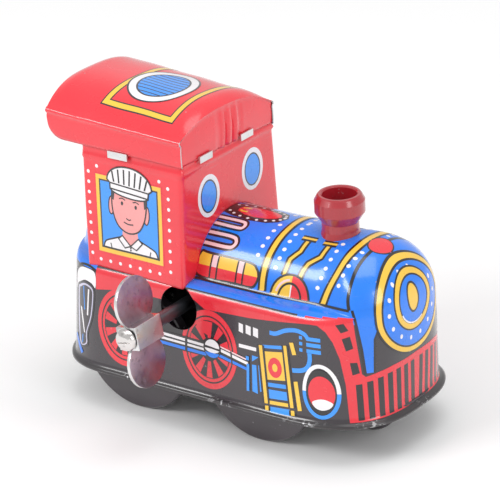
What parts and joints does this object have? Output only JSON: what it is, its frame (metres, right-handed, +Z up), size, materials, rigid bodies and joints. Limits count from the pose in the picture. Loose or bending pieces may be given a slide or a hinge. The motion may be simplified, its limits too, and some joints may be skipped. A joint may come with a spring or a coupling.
{
  "type": "wind-up tin locomotive toy",
  "caption": "Small pressed-tin clockwork steam locomotive with a cab, arched roof, chimney, winding key at the side and wheels driven by a spring and gear train.",
  "frame": {"origin": "on the ground plane under the wheels, on the mid-plane of the body, below the middle of its length", "axes": "+X forward towards the nose, +Z up, the key stands out towards -Y"},
  "size_m": [0.0877, 0.0596, 0.0707],
  "materials": {
    "printed_tin": "glossy lithographed tin, blue over black",
    "red_tin": "glossy red lithographed tin",
    "chimney_enamel": "glossy dark red enamel",
    "bare_tin": "bare tinplate, cut and folded edges",
    "black_tin": "black japanned tin",
    "movement_steel": "satin steel sheet",
    "spring_steel": "blued spring steel",
    "gear_brass": "stamped brass",
    "axle_steel": "drawn steel wire",
    "nickel": "bright nickel plating"
  },
  "bodies": {
    "frame": {"body_shell": "printed_tin", "cab_walls": "red_tin", "roof": "red_tin", "chimney": "chimney_enamel", "chimney_rivet": "bare_tin", "roof_tabs": "bare_tin", "cab_foot_tabs": "bare_tin", "rim_tabs": "bare_tin", "base_plate": "black_tin", "front_axle_bracket": "movement_steel", "guide_bracket": "movement_steel", "guide_pin": "axle_steel", "axle_bracket_rivets": "bare_tin", "guide_bracket_rivets": "bare_tin", "movement_plate_right": "movement_steel", "movement_plate_left": "movement_steel", "frame_posts": "axle_steel", "mainspring": "spring_steel"},
    "drive_wheels": {"rear_axle": "axle_steel", "rear_wheel_right": "black_tin", "rear_wheel_left": "black_tin", "drive_pinion": "gear_brass"},
    "second_train": {"second_arbor": "axle_steel", "second_wheel": "gear_brass", "second_pinion": "gear_brass"},
    "great_wheel_group": {"great_wheel": "gear_brass", "click_rivet": "axle_steel", "click_spring": "spring_steel"},
    "winding_group": {"winding_arbor": "axle_steel", "ratchet_wheel": "movement_steel", "key_wings": "nickel", "key_strap": "nickel", "key_head": "nickel"},
    "click_lever": {"click": "movement_steel"},
    "front_wheels": {"front_axle": "axle_steel", "front_wheel_right": "black_tin", "front_wheel_left": "black_tin"},
    "guide_roller": {"guide_wheel": "black_tin"}
  },
  "joints": [
    {"name": "drive_axle_spin", "type": "hinge", "parent": "frame", "child": "drive_wheels", "pos_m": [-0.018, 0, 0.0145], "axis": [0, 1, 0], "continuous": true},
    {"name": "second_arbor_spin", "type": "hinge", "parent": "frame", "child": "second_train", "pos_m": [-0.01444, 0, 0.02395], "axis": [0, 1, 0], "continuous": true},
    {"name": "great_wheel_spin", "type": "hinge", "parent": "frame", "child": "great_wheel_group", "pos_m": [-0.0035, 0, 0.0278], "axis": [0, 1, 0], "continuous": true},
    {"name": "key_winding", "type": "hinge", "parent": "great_wheel_group", "child": "winding_group", "pos_m": [-0.0035, 0, 0.0278], "axis": [0, 1, 0], "range_deg": [0, 1530], "deforming": ["mainspring"]},
    {"name": "click_lift", "type": "hinge", "parent": "great_wheel_group", "child": "click_lever", "pos_m": [0.0036, -0.0043, 0.0317], "axis": [0, -1, 0], "range_deg": [0, 12]},
    {"name": "front_axle_spin", "type": "hinge", "parent": "frame", "child": "front_wheels", "pos_m": [0.0145, 0, 0.0145], "axis": [0, 1, 0], "continuous": true},
    {"name": "guide_wheel_spin", "type": "hinge", "parent": "frame", "child": "guide_roller", "pos_m": [0.0315, 0, 0.0082], "axis": [0, 1, 0], "continuous": true}
  ],
  "couplings": [
    {"joint": "second_arbor_spin", "follows": "drive_axle_spin", "ratio": -0.33333},
    {"joint": "great_wheel_spin", "follows": "drive_axle_spin", "ratio": 0.092593}
  ]
}
